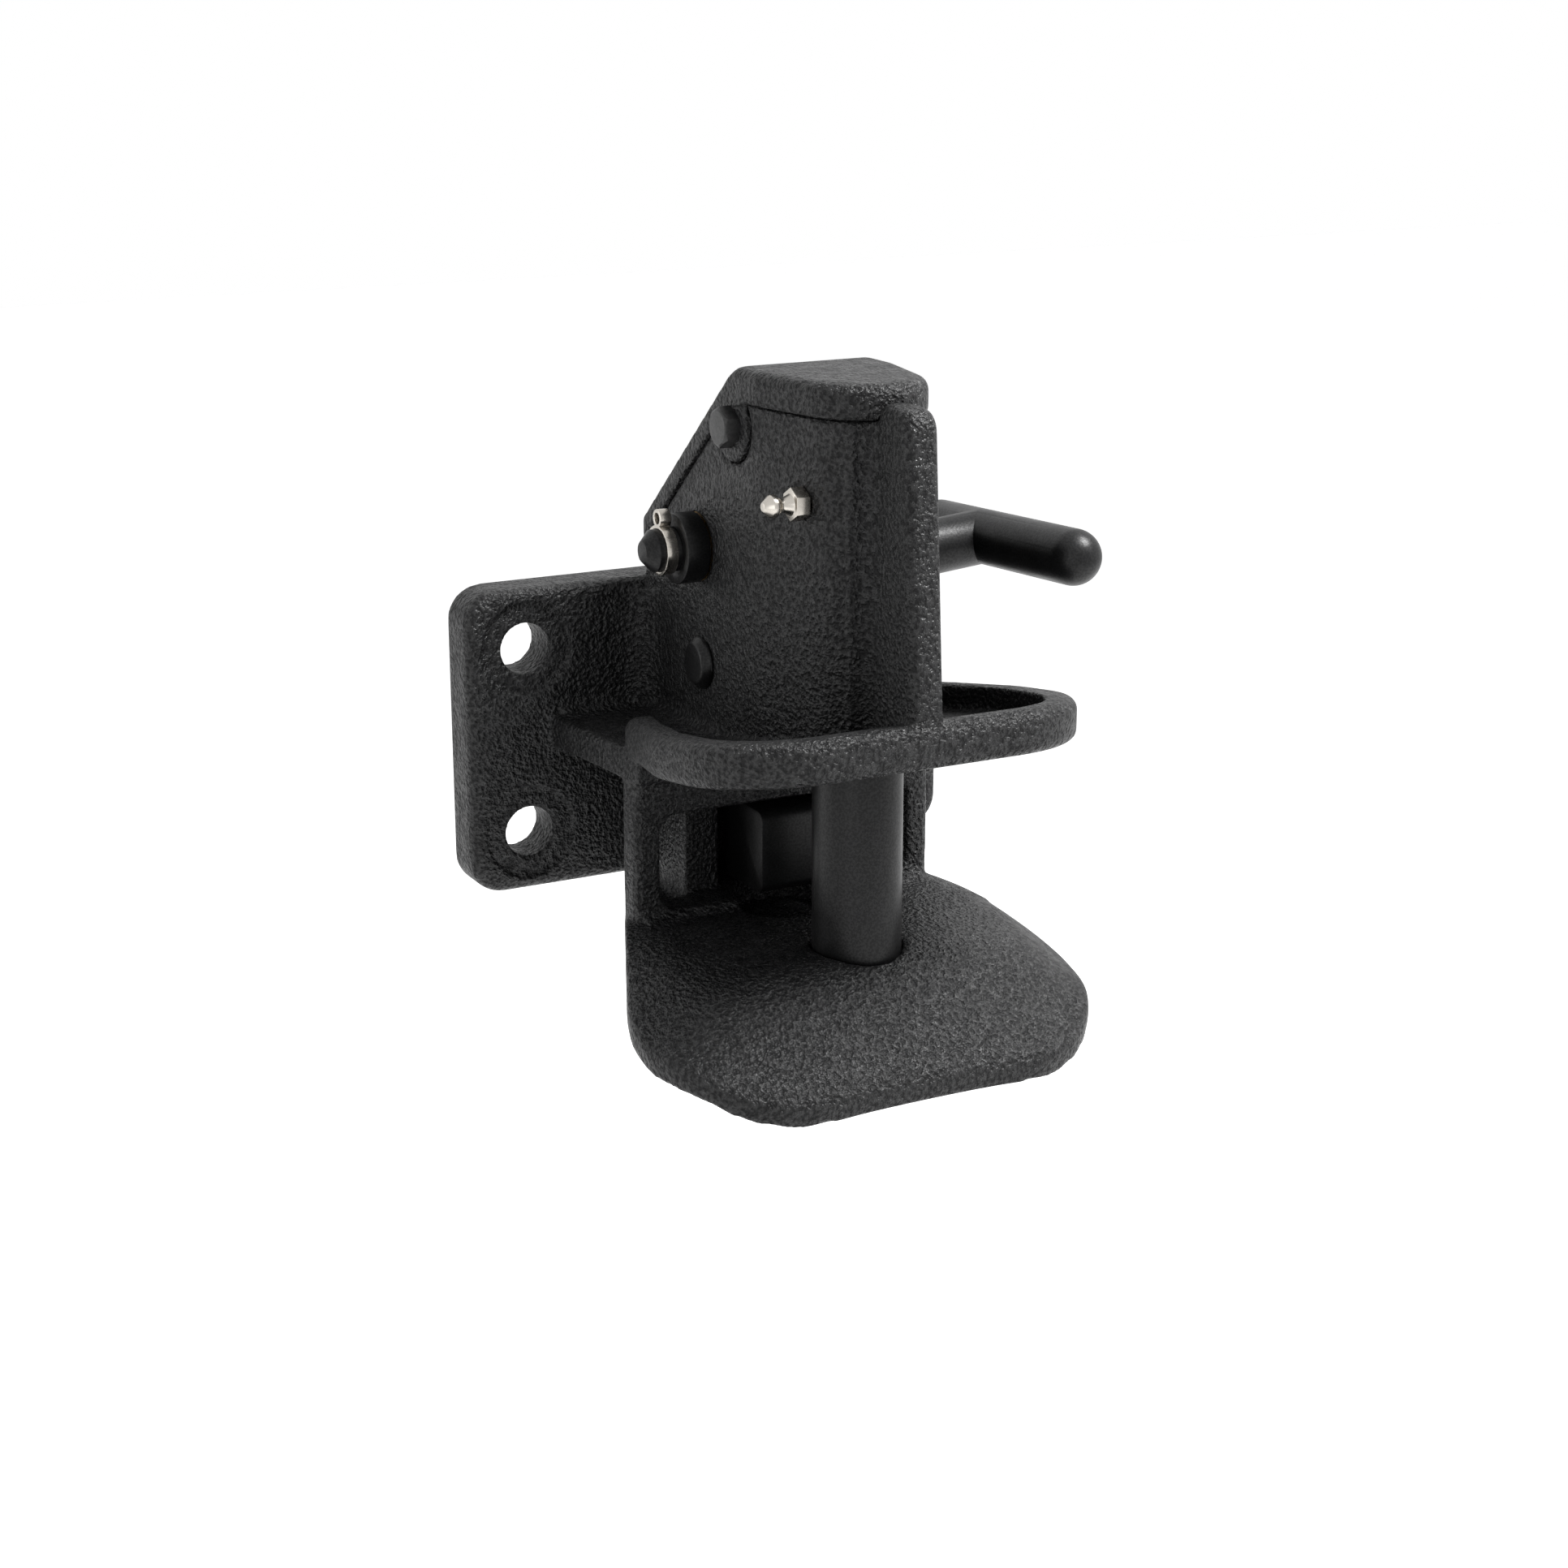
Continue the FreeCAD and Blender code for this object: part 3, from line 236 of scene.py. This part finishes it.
# Turned and bent pieces: smooth round faces and a small broken edge
steelPieces = {
    "pullPin": {"node": "coupling_pin", "body": "pin", "slot": "satin_black", "edge": 0.0006},
    "handLever": {"node": "hand_lever", "body": "lever", "slot": "satin_black", "edge": 0.0005},
    "shaftCollar": {"node": "shaft_washer", "body": "lever", "slot": "satin_black", "edge": 0.0006},
    "tipClip": {"node": "shaft_clip", "body": "lever", "slot": "bright_plated", "edge": 0.00025},
    "capScrews": {"node": "cover_screws", "body": "housing", "slot": "dark_screw", "edge": 0.0003},
    "greaseFitting": {"node": "grease_nipple", "body": "housing", "slot": "bright_plated", "edge": 0.0003},
    "pivotPin": {"node": "trigger_pin", "body": "housing", "slot": "satin_black", "edge": 0.0006},
    "pivotRing": {"node": "trigger_pin_ring", "body": "housing", "slot": "bare_steel", "edge": 0.0002},
    "jawTrigger": {"node": "release_trigger", "body": "trigger", "slot": "satin_black", "edge": 0.0006},
    "plateBush": {"node": "lower_bush", "body": "housing", "slot": "bare_steel", "edge": 0.0004}}
steelEdge = {"segments": 2, "sharper": math.radians(32), "flat": math.radians(1)}


def breakEdges(name, look):
    piece = mergedCopy(name, look["node"])
    selectOnly(piece)
    bpy.ops.object.mode_set(mode="EDIT")
    bpy.ops.mesh.select_all(action="SELECT")
    bpy.ops.mesh.dissolve_limited(angle_limit=steelEdge["flat"])
    bpy.ops.object.mode_set(mode="OBJECT")
    applyModifier(piece, "BEVEL", {"width": look["edge"], "segments": steelEdge["segments"],
                                   "limit_method": "ANGLE", "angle_limit": steelEdge["sharper"]})
    selectOnly(piece)
    bpy.ops.object.shade_smooth_by_angle(angle=steelEdge["sharper"])
    dress(piece, look["slot"])
    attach(piece, look["body"])
    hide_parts(look["node"])


for pieceName, pieceLook in steelPieces.items():
    breakEdges(pieceName, pieceLook)
print("steel pieces made:", len(steelPieces))

# Floor and world: white to the camera and to reflections, calm for everything else
floorLook = {"size": 8, "height": -0.34, "colour": (0.86, 0.86, 0.86, 1), "shown": 0.9,
             "roughness": 0.9}
worldLook = {"ambient": 0.04, "shown": 1.0}


def seenDirectly(tree):
    path = tree.nodes.new("ShaderNodeLightPath")
    first = tree.nodes.new("ShaderNodeMath")
    first.operation = "MAXIMUM"
    second = tree.nodes.new("ShaderNodeMath")
    second.operation = "MAXIMUM"
    tree.links.new(path.outputs["Is Camera Ray"], first.inputs[0])
    tree.links.new(path.outputs["Is Glossy Ray"], first.inputs[1])
    tree.links.new(first.outputs["Value"], second.inputs[0])
    tree.links.new(path.outputs["Is Transmission Ray"], second.inputs[1])
    return second.outputs["Value"]


bpy.ops.object.select_all(action="DESELECT")
bpy.ops.mesh.primitive_plane_add(size=floorLook["size"], location=(0, 0, floorLook["height"]))
floor = bpy.context.object
floor.name = "floor"
floorPaint = bpy.data.materials.new("paleFloor")
floorPaint.use_nodes = True
floorShader = floorPaint.node_tree.nodes["Principled BSDF"]
floorShader.inputs["Base Color"].default_value = floorLook["colour"]
floorShader.inputs["Roughness"].default_value = floorLook["roughness"]
floorShader.inputs["Emission Color"].default_value = (1, 1, 1, 1)
glow = floorPaint.node_tree.nodes.new("ShaderNodeMath")
glow.operation = "MULTIPLY"
glow.inputs[1].default_value = floorLook["shown"]
floorPaint.node_tree.links.new(seenDirectly(floorPaint.node_tree), glow.inputs[0])
floorPaint.node_tree.links.new(glow.outputs["Value"], floorShader.inputs["Emission Strength"])
floor.data.materials.append(floorPaint)

world = bpy.data.worlds.new("studio")
bpy.context.scene.world = world
world.use_nodes = True
sky = world.node_tree.nodes["Background"]
sky.inputs["Color"].default_value = (1, 1, 1, 1)
level = world.node_tree.nodes.new("ShaderNodeMapRange")
level.inputs["To Min"].default_value = worldLook["ambient"]
level.inputs["To Max"].default_value = worldLook["shown"]
world.node_tree.links.new(seenDirectly(world.node_tree), level.inputs["Value"])
world.node_tree.links.new(level.outputs["Result"], sky.inputs["Strength"])

# Soft boxes: one over the plate's slope, one low at the left back, one low at the left front
softBoxes = {
    "overSlope": {"place": (0.53, -0.38, 0.88), "size": (0.40, 0.40), "watts": 24},
    "leftBack": {"place": (-0.95, 0.45, 0.12), "size": (0.6, 0.6), "watts": 1.8},
    "leftFront": {"place": (-0.75, -0.85, 0.10), "size": (0.6, 0.6), "watts": 1.2}}
lightAim = Vector((0, -0.12, -0.02))
for name, look in softBoxes.items():
    bpy.ops.object.light_add(type="AREA", location=look["place"])
    lamp = bpy.context.object
    lamp.name = name
    lamp.data.shape = "RECTANGLE"
    lamp.data.size, lamp.data.size_y = look["size"]
    lamp.data.energy = look["watts"]
    lamp.rotation_euler = (lightAim - lamp.location).to_track_quat("-Z", "Y").to_euler()
print("floor, world and soft boxes set")

# Camera at the photograph's angle
cameraLook = {"place": (-0.36414, -0.74404, 0.21893), "aim": (0.00528, -0.04961, -0.01282), "lens": 64.61,
              "sensor": 36}
bpy.ops.object.camera_add(location=cameraLook["place"])
camera = bpy.context.object
camera.data.lens = cameraLook["lens"]
camera.data.sensor_width = cameraLook["sensor"]
camera.rotation_euler = (Vector(cameraLook["aim"]) - camera.location).to_track_quat("-Z", "Y").to_euler()
bpy.context.scene.camera = camera
bpy.context.scene.view_settings.view_transform = "Standard"
print("camera set")
